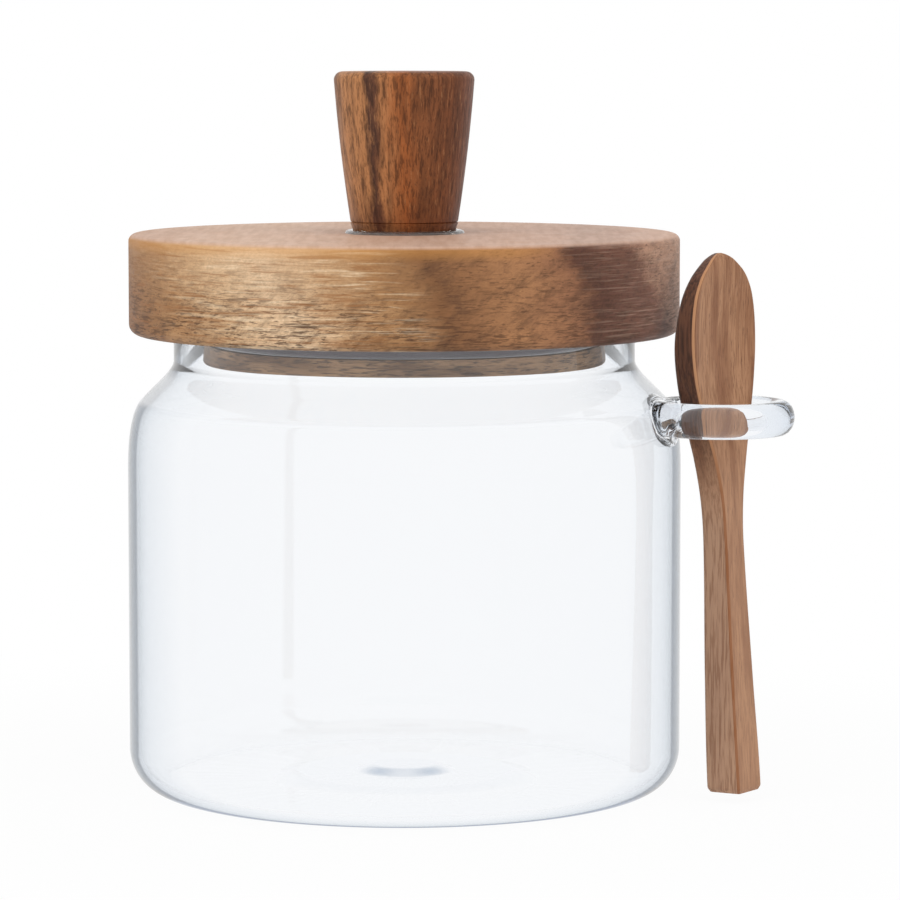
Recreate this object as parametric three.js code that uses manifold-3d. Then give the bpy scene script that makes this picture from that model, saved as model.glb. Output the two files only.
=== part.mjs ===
// Glass storage jar with a turned wooden lid, a silicone seal and a wooden spoon that hangs in a glass loop.
// Millimetres, +Z up. The origin is on the jar's axis, on the flat underside of its base.
// The photograph was taken from -Y, and the spoon loop stands out on the +X side.
import * as THREE from "three";
import { mergeVertices } from "three/addons/utils/BufferGeometryUtils.js";
import Module from "manifold-3d";

const wasm = await Module();
wasm.setup();

// Facets around a full turn
const WIDE_SEGMENTS = 48;
const KNOB_SEGMENTS = 40;
const CURVE_STEPS = 4;

// Jar body. Along the shoulder's 45 degree slope, radius plus height stays at SLOPE_SUM.
const BODY_R = 42.5;
const WALL = 1.6;
const BASE_FLAT_R = 36.7;
const HEEL_TOP = 6.6;
const SHOULDER_FOOT = 49.5;
const SLOPE_SUM = 100.6;
const SLOPE_FOOT_R = 40.3;
const SLOPE_TOP_R = 37.3;
const NECK_R = 35.4;
const NECK_FOOT = 66.2;
const RIM_TOP = 70.25;
const PLATEAU = 2.6;
const PLATEAU_R = 14.5;
const PLATEAU_FOOT_R = 23;
const NUB_TOP = 3.6;
const NUB_R = 8.2;
const NUB_SHOULDER_R = 6.6;
const NUB_CROWN_R = 5.7;

// Spoon loop, a glass ring welded to the shoulder
const LOOP_AZIMUTH = THREE.MathUtils.degToRad(-16);
const LOOP_REACH = 49.7;
const LOOP_HEIGHT = 58.5;
const LOOP_RING_R = 9.15;
const LOOP_ROD_RADIAL = 2.05;
const LOOP_ROD_VERTICAL = 2.65;
const LOOP_HOLE_R = LOOP_RING_R - LOOP_ROD_RADIAL;
const WELD_SEAT_R = 41.5;
const WELD_HEIGHT = 58;
const WELD_TILT = THREE.MathUtils.degToRad(22);
const WELD_FOOT_R = 4.6;
const WELD_LENGTH = 2.8;
const WELD_ROOT = 2;
const WELD_SPREAD = 1.9;
const WELD_GAP = 0.3;
const WELD_SEGMENTS = 24;

// Lid
const LID_R = 42.2;
const LID_BOTTOM = 70.3;
const LID_TOP = 85.6;
const LID_TOP_EDGE_R = 1.1;
const LID_LOW_EDGE_R = 1.6;
const PLUG_R = 31;
const PLUG_CORE_R = 28.4;
const PLUG_BOTTOM = 65.7;
const PLUG_EDGE_R = 0.5;
const FLANGE_TOP = 68.2;
const SEAL_R = 31.3;
const SEAL_FIT = 0.1;

// Knob, its dowel and the bead of glue round its foot
const KNOB_TOP = 110.3;
const KNOB_TOP_R = 10.75;
const KNOB_BELLY_R = 9.9;
const KNOB_FOOT_R = 8.25;
const KNOB_SOLE_R = 7.7;
const KNOB_EDGE_R = 1.3;
const SCORE_HEIGHT = 1.75;
const SCORE_HALF = 0.15;
const SCORE_DEPTH = 0.2;
const DOWEL_R = 4;
const DOWEL_FIT = 0.15;
const DOWEL_DEPTH = 10;
const DOWEL_FLUTES = 12;
const FLUTE_DEPTH = 0.35;
const DOWEL_CHAMFER = 0.7;
const GLUE_R = 9.1;
const GLUE_HEIGHT = 0.55;
const GLUE_FIT = 0.1;

// Spoon: height above its lower end, width of its face, depth, depth of the hollow in its face, bow to the back
const SPOON_STATIONS = [
  [0, 5.3, 5.8, 0, -0.25],
  [0.7, 6, 6.3, 0, -0.25],
  [17, 5.5, 5.7, 0, 0],
  [38, 4.75, 4.75, 0, 0.1],
  [44.5, 5.5, 4.7, 0, 0.1],
  [50.7, 8.2, 4.6, 0, 0.15],
  [56.7, 12, 4.4, 0.2, 0.35],
  [62.6, 15.2, 4.2, 0.6, 0.45],
  [68.6, 16.5, 4, 0.75, 0.3],
  [74.6, 15.2, 3.3, 0.5, -0.25],
  [78.2, 11.6, 2.7, 0.2, -0.65],
  [80.6, 6.1, 2, 0, -0.85],
  [81.4, 3, 1.3, 0, -0.9],
  [81.7, 0.9, 0.8, 0, -0.9],
];
const SPOON_STEPS = 40;
const FACE_SHARES = [-1, -0.72, -0.38, 0, 0.38, 0.72, 1];
const SPOON_FRONT_CORNER = 0.35;
const SPOON_BACK_CORNER = 1;
const BACK_CORNER_SHARES = [0.4, 0.8];
const FRONT_CORNER_SHARES = [0.2, 0.3];
const SPOON_TURN = THREE.MathUtils.degToRad(52);
const SPOON_LEAN = THREE.MathUtils.degToRad(-2.35);
const SPOON_FOOT = new THREE.Vector3(49.85, -13.7, 1.6);

// A solid of revolution about Z from an outline of radius and height that encloses the material.
function turned(points, segments) {
  const lathe = new THREE.LatheGeometry(points, segments);
  return lathe.rotateX(Math.PI / 2);
}

function glass() {
  return new THREE.MeshStandardMaterial({
    color: 0xe8f0f4,
    roughness: 0.05,
    transparent: true,
    opacity: 0.35,
  });
}

function wood(color) {
  return new THREE.MeshStandardMaterial({ color, roughness: 0.55 });
}

function named(name, geometry, material) {
  const mesh = new THREE.Mesh(geometry, material);
  mesh.name = name;
  return mesh;
}

function toSolid(geometry) {
  const bare = new THREE.BufferGeometry();
  bare.setAttribute("position", geometry.getAttribute("position"));
  bare.setIndex(geometry.getIndex());
  const merged = mergeVertices(bare, 1e-3);
  return new wasm.Manifold(
    new wasm.Mesh({
      numProp: 3,
      vertProperties: merged.getAttribute("position").array,
      triVerts: new Uint32Array(merged.getIndex().array),
    }),
  );
}

function toGeometry(solid) {
  const mesh = solid.getMesh();
  const geometry = new THREE.BufferGeometry();
  geometry.setAttribute("position", new THREE.BufferAttribute(mesh.vertProperties, 3));
  geometry.setIndex(new THREE.BufferAttribute(mesh.triVerts, 1));
  geometry.computeVertexNormals();
  return geometry;
}

// The line of the glass wall from the base up to the neck, moved outwards by an allowance.
function wallLine(grow) {
  const slant = grow * Math.SQRT1_2;
  const slope = SLOPE_SUM + 2 * slant;
  const wall = BODY_R + grow;
  const neck = NECK_R + grow;
  const slopeFoot = SLOPE_FOOT_R + slant;
  const slopeTop = SLOPE_TOP_R + slant;
  const path = new THREE.Path();
  path.absellipse(BASE_FLAT_R, HEEL_TOP, wall - BASE_FLAT_R, HEEL_TOP + grow, -Math.PI / 2, 0);
  path.lineTo(wall, SHOULDER_FOOT);
  path.quadraticCurveTo(wall, slope - wall, slopeFoot, slope - slopeFoot);
  path.lineTo(slopeTop, slope - slopeTop);
  path.quadraticCurveTo(neck, slope - neck, neck, NECK_FOOT + grow);
  return path.getPoints(CURVE_STEPS);
}

function jarBody() {
  const rimR = WALL / 2;
  const rim = new THREE.Path();
  rim.absarc(NECK_R - rimR, RIM_TOP - rimR, rimR, 0, Math.PI);
  const floor = new THREE.Path();
  floor.moveTo(PLATEAU_FOOT_R, WALL);
  const slopeMiddle = (PLATEAU_FOOT_R + PLATEAU_R) / 2;
  floor.bezierCurveTo(slopeMiddle, WALL, slopeMiddle, PLATEAU, PLATEAU_R, PLATEAU);
  floor.lineTo(NUB_R, PLATEAU);
  floor.bezierCurveTo(NUB_SHOULDER_R, PLATEAU, NUB_CROWN_R, NUB_TOP, 0, NUB_TOP);
  const outline = [
    new THREE.Vector2(0, 0),
    ...wallLine(0),
    ...rim.getPoints(CURVE_STEPS),
    ...wallLine(-WALL).reverse(),
    ...floor.getPoints(CURVE_STEPS),
  ];
  return turned(outline, WIDE_SEGMENTS);
}

// The ring with a flare of melted glass at the shoulder. The flare stands square to the shoulder's surface.
function spoonLoop() {
  const ring = new THREE.TorusGeometry(LOOP_RING_R, LOOP_ROD_RADIAL, 16, 40);
  ring.scale(1, 1, LOOP_ROD_VERTICAL / LOOP_ROD_RADIAL);
  ring.translate(LOOP_REACH, 0, LOOP_HEIGHT);
  const flare = new THREE.Path();
  flare.moveTo(0, -WELD_ROOT);
  flare.lineTo(WELD_FOOT_R, -WELD_ROOT);
  flare.lineTo(WELD_FOOT_R, 0);
  flare.quadraticCurveTo(LOOP_ROD_VERTICAL, 0, LOOP_ROD_VERTICAL, WELD_LENGTH);
  flare.lineTo(0, WELD_LENGTH);
  const weld = turned(flare.getPoints(CURVE_STEPS), WELD_SEGMENTS);
  weld.rotateY(Math.PI / 2);
  weld.scale(1, WELD_SPREAD, 1);
  weld.rotateY(-WELD_TILT);
  weld.translate(WELD_SEAT_R, 0, WELD_HEIGHT);
  const hole = new THREE.CylinderGeometry(LOOP_HOLE_R, LOOP_HOLE_R, 4 * WELD_FOOT_R, 40);
  hole.rotateX(Math.PI / 2);
  hole.translate(LOOP_REACH, 0, LOOP_HEIGHT);
  for (const piece of [ring, weld, hole]) {
    piece.rotateZ(LOOP_AZIMUTH);
  }
  const bulk = [
    new THREE.Vector2(0, -WELD_GAP),
    ...wallLine(WELD_GAP),
    new THREE.Vector2(0, NECK_FOOT + WELD_GAP),
  ];
  const jar = toSolid(turned(bulk, WIDE_SEGMENTS));
  const joined = toSolid(weld).subtract(toSolid(hole)).add(toSolid(ring));
  return toGeometry(joined.subtract(jar));
}

function lidDisc() {
  const bore = DOWEL_R + DOWEL_FIT;
  const path = new THREE.Path();
  path.moveTo(0, LID_BOTTOM);
  path.lineTo(LID_R - LID_LOW_EDGE_R, LID_BOTTOM);
  path.absarc(LID_R - LID_LOW_EDGE_R, LID_BOTTOM + LID_LOW_EDGE_R, LID_LOW_EDGE_R, -Math.PI / 2, 0);
  path.absarc(LID_R - LID_TOP_EDGE_R, LID_TOP - LID_TOP_EDGE_R, LID_TOP_EDGE_R, 0, Math.PI / 2);
  path.lineTo(bore, LID_TOP);
  path.lineTo(bore, LID_TOP - DOWEL_DEPTH);
  path.lineTo(0, LID_TOP - DOWEL_DEPTH);
  return turned(path.getPoints(CURVE_STEPS), WIDE_SEGMENTS);
}

function lidPlug() {
  const path = new THREE.Path();
  path.moveTo(0, PLUG_BOTTOM);
  path.lineTo(PLUG_R - PLUG_EDGE_R, PLUG_BOTTOM);
  path.absarc(PLUG_R - PLUG_EDGE_R, PLUG_BOTTOM + PLUG_EDGE_R, PLUG_EDGE_R, -Math.PI / 2, 0);
  path.lineTo(PLUG_R, FLANGE_TOP);
  path.lineTo(PLUG_CORE_R, FLANGE_TOP);
  path.lineTo(PLUG_CORE_R, LID_BOTTOM);
  path.lineTo(0, LID_BOTTOM);
  return turned(path.getPoints(CURVE_STEPS), WIDE_SEGMENTS);
}

function sealRing() {
  const low = FLANGE_TOP + SEAL_FIT;
  const high = LID_BOTTOM - SEAL_FIT;
  const round = (high - low) / 2;
  const path = new THREE.Path();
  path.moveTo(PLUG_CORE_R + SEAL_FIT, low);
  path.lineTo(SEAL_R - round, low);
  path.absarc(SEAL_R - round, low + round, round, -Math.PI / 2, Math.PI / 2);
  path.lineTo(PLUG_CORE_R + SEAL_FIT, high);
  path.closePath();
  return turned(path.getPoints(CURVE_STEPS), WIDE_SEGMENTS);
}

function knob() {
  const bore = DOWEL_R + DOWEL_FIT;
  const score = LID_TOP + SCORE_HEIGHT;
  const path = new THREE.Path();
  path.moveTo(bore, LID_TOP);
  path.lineTo(KNOB_SOLE_R, LID_TOP);
  path.lineTo(KNOB_FOOT_R, score - SCORE_HALF);
  path.lineTo(KNOB_FOOT_R - SCORE_DEPTH, score);
  path.lineTo(KNOB_FOOT_R, score + SCORE_HALF);
  const shoulder = KNOB_TOP - KNOB_EDGE_R;
  path.quadraticCurveTo(KNOB_BELLY_R, (score + shoulder) / 2, KNOB_TOP_R, shoulder);
  path.absarc(KNOB_TOP_R - KNOB_EDGE_R, shoulder, KNOB_EDGE_R, 0, Math.PI / 2);
  path.lineTo(0, KNOB_TOP);
  path.lineTo(0, LID_TOP + DOWEL_DEPTH);
  path.lineTo(bore, LID_TOP + DOWEL_DEPTH);
  path.closePath();
  return turned(path.getPoints(CURVE_STEPS), KNOB_SEGMENTS);
}

// A wooden dowel with straight flutes and chamfered ends, half in the lid and half in the knob.
function knobDowel() {
  const length = 2 * DOWEL_DEPTH - 4 * DOWEL_FIT;
  const section = new THREE.Shape();
  const corners = 4 * DOWEL_FLUTES;
  for (let i = 0; i < corners; i += 1) {
    const turn = (2 * Math.PI * i) / corners;
    const radius = i % 4 === 0 ? DOWEL_R - FLUTE_DEPTH : DOWEL_R;
    const x = (radius - DOWEL_CHAMFER) * Math.cos(turn);
    const y = (radius - DOWEL_CHAMFER) * Math.sin(turn);
    if (i === 0) section.moveTo(x, y);
    else section.lineTo(x, y);
  }
  section.closePath();
  const dowel = new THREE.ExtrudeGeometry(section, {
    depth: length - 2 * DOWEL_CHAMFER,
    bevelThickness: DOWEL_CHAMFER,
    bevelSize: DOWEL_CHAMFER,
    bevelSegments: 1,
  });
  return dowel.translate(0, 0, LID_TOP - length / 2 + DOWEL_CHAMFER);
}

function glueBead() {
  const inner = KNOB_SOLE_R + GLUE_FIT;
  const lean = ((KNOB_FOOT_R - KNOB_SOLE_R) * GLUE_HEIGHT) / SCORE_HEIGHT;
  const path = new THREE.Path();
  path.moveTo(inner, LID_TOP);
  path.lineTo(GLUE_R, LID_TOP);
  path.quadraticCurveTo(GLUE_R, LID_TOP + GLUE_HEIGHT, inner + lean, LID_TOP + GLUE_HEIGHT);
  path.closePath();
  return turned(path.getPoints(CURVE_STEPS), KNOB_SEGMENTS);
}

// One closed section of the spoon: a flat or hollowed face at -Y and a rounded back at +Y.
function spoonSection(width, depth, hollow) {
  const half = width / 2;
  const front = -depth / 2;
  const back = depth / 2;
  const soft = Math.min(SPOON_BACK_CORNER, BACK_CORNER_SHARES[0] * depth, BACK_CORNER_SHARES[1] * half);
  const crisp = Math.min(SPOON_FRONT_CORNER, FRONT_CORNER_SHARES[0] * depth, FRONT_CORNER_SHARES[1] * half);
  const flat = half - crisp;
  const points = [];
  for (const share of FACE_SHARES) {
    points.push([share * flat, front + hollow * (1 - share * share)]);
  }
  points.push([half, front + crisp]);
  for (const [side, turns] of [[1, [0, 1, 2, 3]], [-1, [3, 2, 1, 0]]]) {
    for (const turn of turns) {
      const angle = (turn * Math.PI) / 6;
      const x = side * (half - soft + soft * Math.cos(angle));
      points.push([x, back - soft + soft * Math.sin(angle)]);
    }
  }
  points.push([-half, front + crisp]);
  return points;
}

function spoon() {
  const sizes = new THREE.CatmullRomCurve3(
    SPOON_STATIONS.map(([height, width, depth]) => new THREE.Vector3(width, depth, height)),
  );
  const bends = new THREE.CatmullRomCurve3(
    SPOON_STATIONS.map(([height, , , hollow, bow]) => new THREE.Vector3(hollow, bow, height)),
  );
  const rings = [];
  for (let i = 0; i <= SPOON_STEPS; i += 1) {
    const size = sizes.getPoint(i / SPOON_STEPS);
    const bend = bends.getPoint(i / SPOON_STEPS);
    const section = spoonSection(size.x, size.y, Math.max(0, bend.x));
    rings.push(section.map(([x, y]) => [x, y + bend.y, size.z]));
  }
  const around = rings[0].length;
  const positions = rings.flat(2);
  const index = [];
  for (let i = 0; i < SPOON_STEPS; i += 1) {
    for (let j = 0; j < around; j += 1) {
      const next = (j + 1) % around;
      const low = i * around;
      const high = low + around;
      index.push(low + j, low + next, high + next);
      index.push(low + j, high + next, high + j);
    }
  }
  for (const [ring, flip] of [[0, true], [SPOON_STEPS, false]]) {
    const hub = positions.length / 3;
    const start = ring * around;
    const bow = SPOON_STATIONS.at(flip ? 0 : -1)[4];
    positions.push(0, bow, rings[ring][0][2]);
    for (let j = 0; j < around; j += 1) {
      const next = (j + 1) % around;
      if (flip) index.push(hub, start + next, start + j);
      else index.push(hub, start + j, start + next);
    }
  }
  const geometry = new THREE.BufferGeometry();
  geometry.setAttribute("position", new THREE.Float32BufferAttribute(positions, 3));
  geometry.setIndex(index);
  geometry.computeVertexNormals();
  geometry.rotateZ(SPOON_TURN);
  geometry.rotateY(SPOON_LEAN);
  return geometry.translate(SPOON_FOOT.x, SPOON_FOOT.y, SPOON_FOOT.z);
}

const part = new THREE.Group();
part.add(named("jar_body", jarBody(), glass()));
part.add(named("spoon_loop", spoonLoop(), glass()));
part.add(named("lid_disc", lidDisc(), wood(0xa87848)));
part.add(named("lid_plug", lidPlug(), wood(0x8a6a4c)));
const silicone = new THREE.MeshStandardMaterial({ color: 0x9a9da2, roughness: 0.4 });
part.add(named("seal_ring", sealRing(), silicone));
part.add(named("knob", knob(), wood(0x9c5f34)));
part.add(named("knob_dowel", knobDowel(), wood(0xd9c19a)));
const glue = new THREE.MeshStandardMaterial({ color: 0xf2f0ea, roughness: 0.2 });
part.add(named("glue_bead", glueBead(), glue));
part.add(named("spoon", spoon(), wood(0x8c5f3d)));

export default part;
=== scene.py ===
import math

import bmesh
import bpy
from mathutils import Matrix, Vector


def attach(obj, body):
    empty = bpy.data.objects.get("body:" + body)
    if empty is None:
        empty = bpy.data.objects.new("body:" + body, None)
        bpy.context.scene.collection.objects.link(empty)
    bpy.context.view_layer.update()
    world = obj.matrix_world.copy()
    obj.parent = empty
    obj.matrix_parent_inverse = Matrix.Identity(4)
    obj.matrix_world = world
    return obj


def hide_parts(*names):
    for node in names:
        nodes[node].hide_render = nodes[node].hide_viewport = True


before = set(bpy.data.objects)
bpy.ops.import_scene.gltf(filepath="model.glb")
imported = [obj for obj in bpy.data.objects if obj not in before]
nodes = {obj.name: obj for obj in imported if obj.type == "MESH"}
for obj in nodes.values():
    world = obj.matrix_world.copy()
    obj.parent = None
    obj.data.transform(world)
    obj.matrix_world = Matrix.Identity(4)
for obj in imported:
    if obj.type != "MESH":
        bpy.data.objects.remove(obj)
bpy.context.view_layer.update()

MM = 0.001
scene = bpy.context.scene

# Facets
TURN_SEGMENTS = 192
KNOB_SEGMENTS = 128
LOOP_SEGMENTS = 96
ROD_SEGMENTS = 40
CURVE_STEPS = 14
CORNER_STEPS = 6
GLUE_STEPS = 8

# Angles in degrees above which an edge is drawn sharp
SHARP = 30
WELD_SHARP = 40
SPOON_SHARP = 38
GLUE_SHARP = 60
NEVER_SHARP = 180

# Distances in metres below which points are merged and faces are taken away
MERGE = 1e-7
THIN = 1e-8

# Jar. Its shoulder slopes at 45 degrees, where radius and height add up to SLOPE_SUM
BODY_R = 42.5
BODY_WALL = 1.6
NECK_WALL = 1.2
FLOOR = 1.6
BASE_FLAT_R = 36.7
HEEL_TOP = 6.6
SHOULDER_FOOT = 49.5
SLOPE_SUM = 100.6
SLOPE_FOOT_R = 40.3
SLOPE_TOP_R = 37.3
NECK_R = 35.4
NECK_FOOT = 66.2
RIM_TOP = 70.25
PLATEAU = 2.6
PLATEAU_R = 16.0
PLATEAU_FOOT_R = 21.0
NUB_TOP = 3.6
NUB_R = 8.2
NUB_CROWN_R = 4.4

# Spoon loop
LOOP_AZIMUTH = math.radians(-16)
LOOP_REACH = 49.7
LOOP_HEIGHT = 58.5
LOOP_RING_R = 9.15
LOOP_ROD_RADIAL = 2.05
LOOP_ROD_VERTICAL = 2.65
WELD_SEAT_R = 41.5
WELD_HEIGHT = 58.0
WELD_TILT = math.radians(22)
WELD_FOOT_R = 4.6
WELD_LENGTH = 2.8
WELD_ROOT = 2.0
WELD_SPREAD = 1.9
WELD_VOXEL = 0.25
WELD_GAP = 0.05
MELT_FACTOR = 0.5
MELT_STEPS = 16

# Lid, plug and seal
LID_R = 42.2
LID_BOTTOM = 70.3
LID_TOP = 85.6
LID_TOP_EDGE_R = 1.1
LID_LOW_EDGE_R = 1.6
PLUG_R = 31.0
PLUG_CORE_R = 28.4
PLUG_BOTTOM = 65.7
PLUG_EDGE_R = 0.2
FLANGE_TOP = 68.2
SEAL_R = 31.3
SEAL_FIT = 0.1

# Knob and the glue round its foot
KNOB_TOP = 110.3
KNOB_TOP_R = 10.75
KNOB_BELLY_R = 9.9
KNOB_FOOT_R = 8.25
KNOB_SOLE_R = 7.7
KNOB_EDGE_R = 1.3
KNOB_BORE_R = 4.15
KNOB_BORE_TOP = 95.6
SCORE_HEIGHT = 1.75
SCORE_HALF = 0.15
SCORE_DEPTH = 0.2
GLUE_R = 9.1
GLUE_HEIGHT = 0.55
GLUE_FIT = 0.1
GLUE_CREST = 0.15

# Waves round the glue: how many, where they start in radians, and their share of the radius
GLUE_WAVES = ((3, 0.6, 0.012), (7, 0.0, 0.01))

# Spoon: height above its lower end, width of its face, depth,
# depth of the hollow in its face, bow to the back
SPOON_STATIONS = [
    (0.0, 5.3, 5.8, 0.0, -0.25),
    (0.7, 6.0, 6.3, 0.0, -0.25),
    (17.0, 5.5, 5.7, 0.0, 0.0),
    (38.0, 4.75, 4.75, 0.0, 0.1),
    (44.5, 5.5, 4.7, 0.0, 0.1),
    (50.7, 8.2, 4.6, 0.0, 0.15),
    (56.7, 12.0, 4.4, 0.2, 0.35),
    (62.6, 15.2, 4.2, 0.6, 0.45),
    (68.6, 16.5, 4.0, 0.75, 0.3),
    (74.6, 15.2, 3.3, 0.5, -0.25),
    (78.2, 11.6, 2.7, 0.2, -0.65),
    (80.6, 6.1, 2.0, 0.0, -0.85),
    (81.4, 3.0, 1.3, 0.0, -0.9),
    (81.7, 0.9, 0.8, 0.0, -0.9),
]
SPOON_STEPS = 150
SPOON_CROWDING = 0.6
FACE_SHARES = (-1, -0.94, -0.82, -0.64, -0.42, -0.2, 0, 0.2, 0.42, 0.64, 0.82, 0.94, 1)
SPOON_FRONT_CORNER = 0.35
SPOON_BACK_CORNER = 1.0
RIM_EDGE = 0.12
RIM_STEPS = 2

# The largest share of the depth and of the half width that a corner takes
FRONT_CORNER_SHARES = (0.2, 0.3)
BACK_CORNER_SHARES = (0.4, 0.8)

# Where the spoon stands
SPOON_TURN = math.radians(52)
SPOON_LEAN = math.radians(-2.35)
SPOON_FOOT = (49.85, -13.7, 1.6)

# Camera, solved from the ellipses of the base, lid and plug
CAMERA_AT = (7.0, -679.0, 117.1)
CAMERA_PITCH = math.radians(5.46)
CAMERA_LENS = 177.2
CAMERA_SENSOR = 36.0

# Lamps: name, degrees to the right of the camera, height, distance, width and height in metres, power
SOFTBOXES = [
    ("key_left", -50, 0.45, 0.9, (0.8, 0.9), 4.2),
    ("fill_right", 55, 0.5, 0.9, (0.8, 0.9), 2.6),
    ("top", 10, 0.95, 0.3, (0.6, 0.6), 2.2),
]
LAMP_TARGET = (0.0, 0.0, 0.06)
AMBIENT = 0.45
LIGHT_BOUNCES = 24

# Floor: half width in metres, the radii between which it fades to white, and how white it shows
FLOOR_HALF = 3.0
FLOOR_NEAR = 60.0
FLOOR_FAR = 160.0
WHITENESS_NEAR = 0.95
WHITENESS_THROUGH_GLASS = 0.985


# Outlines


def arc(centre, radii, start, end, steps=CURVE_STEPS):
    """Points along an ellipse, between two angles in degrees."""
    points = []
    for i in range(steps + 1):
        turn = math.radians(start + (end - start) * i / steps)
        points.append((centre[0] + radii[0] * math.cos(turn), centre[1] + radii[1] * math.sin(turn)))
    return points


def bend(start, control, end, steps=CURVE_STEPS):
    """Points along a curve that leaves its start and reaches its end in line with a control point."""
    points = []
    for i in range(steps + 1):
        t = i / steps
        shares = ((1 - t) ** 2, 2 * t * (1 - t), t * t)
        points.append(tuple(sum(s * p[k] for s, p in zip(shares, (start, control, end))) for k in (0, 1)))
    return points


def ease(start, end, steps=CURVE_STEPS):
    """A smooth step from one radius and height to another, level at both ends."""
    points = []
    for i in range(steps + 1):
        t = i / steps
        rise = t * t * (3 - 2 * t)
        points.append((start[0] + (end[0] - start[0]) * t, start[1] + (end[1] - start[1]) * rise))
    return points


# Meshes


def finish_mesh(name, bm, sharp_degrees):
    """Makes an object of a bmesh, smooth but for its sharp edges."""
    bmesh.ops.recalc_face_normals(bm, faces=bm.faces)
    mesh = bpy.data.meshes.new(name)
    bm.to_mesh(mesh)
    bm.free()
    mesh.shade_smooth()
    mesh.set_sharp_from_angle(angle=math.radians(sharp_degrees))
    piece = bpy.data.objects.new(name, mesh)
    scene.collection.objects.link(piece)
    return piece


def loft(bm, rings, closed_ends):
    """Joins rings of the same number of points, each a list of positions in millimetres."""
    rows = []
    for ring in rings:
        rows.append([bm.verts.new(Vector(p) * MM) for p in ring])
    for low, high in zip(rows, rows[1:]):
        for j in range(len(low)):
            k = (j + 1) % len(low)
            bm.faces.new((low[j], low[k], high[k], high[j]))
    if closed_ends:
        bm.faces.new(rows[0])
        bm.faces.new(rows[-1])


def turned(name, outline, segments=TURN_SEGMENTS, sharp_degrees=SHARP, wobble=None):
    """Turns an outline of (radius, height) about Z. The outline ends on the axis or joins up
    with its start. A wobble is a function that gives the radius's growth at a turn."""
    bm = bmesh.new()
    columns = []
    for i in range(segments):
        turn = 2 * math.pi * i / segments
        grow = wobble(turn) if wobble else 1.0
        column = []
        for radius, height in outline:
            place = (radius * grow * math.cos(turn), radius * grow * math.sin(turn), height)
            column.append(bm.verts.new(Vector(place) * MM))
        columns.append(column)
    looped = outline[0][0] > 0 and outline[-1][0] > 0
    spans = len(outline) if looped else len(outline) - 1
    for i in range(segments):
        here = columns[i]
        there = columns[(i + 1) % segments]
        for j in range(spans):
            k = (j + 1) % len(outline)
            bm.faces.new((here[j], there[j], there[k], here[k]))
    bmesh.ops.remove_doubles(bm, verts=bm.verts, dist=MERGE)
    bmesh.ops.dissolve_degenerate(bm, edges=bm.edges, dist=THIN)
    return finish_mesh(name, bm, sharp_degrees)


def apply_modifiers(piece):
    """Bakes the piece's modifiers into its mesh."""
    ready = bpy.context.evaluated_depsgraph_get()
    mesh = bpy.data.meshes.new_from_object(piece.evaluated_get(ready))
    piece.modifiers.clear()
    piece.data = mesh


def cut_or_join(piece, other, operation):
    """Applies a boolean with another piece, which is then removed."""
    step = piece.modifiers.new(operation.lower(), "BOOLEAN")
    step.operation = operation
    step.solver = "EXACT"
    step.object = other
    apply_modifiers(piece)
    bpy.data.objects.remove(other)


# Glass jar and its spoon loop


def wall_line(body_grow, neck_grow):
    """The wall from the base up to the neck, moved outwards by one distance along the body
    and by another along the neck."""
    slant = body_grow * math.sqrt(0.5)  # how far out and how far up a grown slope moves
    slope = SLOPE_SUM + 2 * slant
    wall = BODY_R + body_grow
    neck = NECK_R + neck_grow
    foot = (SLOPE_FOOT_R + slant, slope - SLOPE_FOOT_R - slant)
    top = (SLOPE_TOP_R + slant, slope - SLOPE_TOP_R - slant)
    points = arc((BASE_FLAT_R, HEEL_TOP), (wall - BASE_FLAT_R, HEEL_TOP + body_grow), -90, 0)
    points += bend((wall, SHOULDER_FOOT), (wall, slope - wall), foot)
    points += bend(top, (neck, slope - neck), (neck, NECK_FOOT + neck_grow))
    return points


def jar_floor():
    """The inside of the base from the wall to the axis: a low plateau with a nub in its middle."""
    points = ease((PLATEAU_FOOT_R, FLOOR), (PLATEAU_R, PLATEAU))
    points += ease((NUB_R, PLATEAU), (NUB_CROWN_R, NUB_TOP))
    points += [(0.0, NUB_TOP)]
    return points


def jar_glass():
    """The hollow jar: out along its base, up over the rim, and down inside to its floor."""
    rim_r = NECK_WALL / 2
    outline = [(0.0, 0.0)]
    outline += wall_line(0.0, 0.0)
    outline += arc((NECK_R - rim_r, RIM_TOP - rim_r), (rim_r, rim_r), 0, 180)
    outline += reversed(wall_line(-BODY_WALL, -NECK_WALL))
    outline += jar_floor()
    return turned("glass_jar", outline)


def jar_bulk(grow):
    """The jar as if it were full of glass, its surface moved outwards by a distance."""
    outline = wall_line(grow, grow) + [(0.0, RIM_TOP)]
    return turned("bulk", [(0.0, -grow)] + outline)


def placed_on_loop(piece):
    """Turns a mesh made on the +X side to the loop's side of the jar."""
    piece.data.transform(Matrix.Rotation(LOOP_AZIMUTH, 4, "Z"))
    return piece


def loop_ring():
    bm = bmesh.new()
    rings = []
    for i in range(LOOP_SEGMENTS):
        turn = 2 * math.pi * i / LOOP_SEGMENTS
        ring = []
        for j in range(ROD_SEGMENTS):
            roll = 2 * math.pi * j / ROD_SEGMENTS
            radius = LOOP_RING_R + LOOP_ROD_RADIAL * math.cos(roll)
            height = LOOP_HEIGHT + LOOP_ROD_VERTICAL * math.sin(roll)
            ring.append((LOOP_REACH + radius * math.cos(turn), radius * math.sin(turn), height))
        rings.append(ring)
    loft(bm, rings + rings[:1], False)
    bmesh.ops.remove_doubles(bm, verts=bm.verts, dist=MERGE)
    return placed_on_loop(finish_mesh("loop_ring", bm, NEVER_SHARP))


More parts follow.
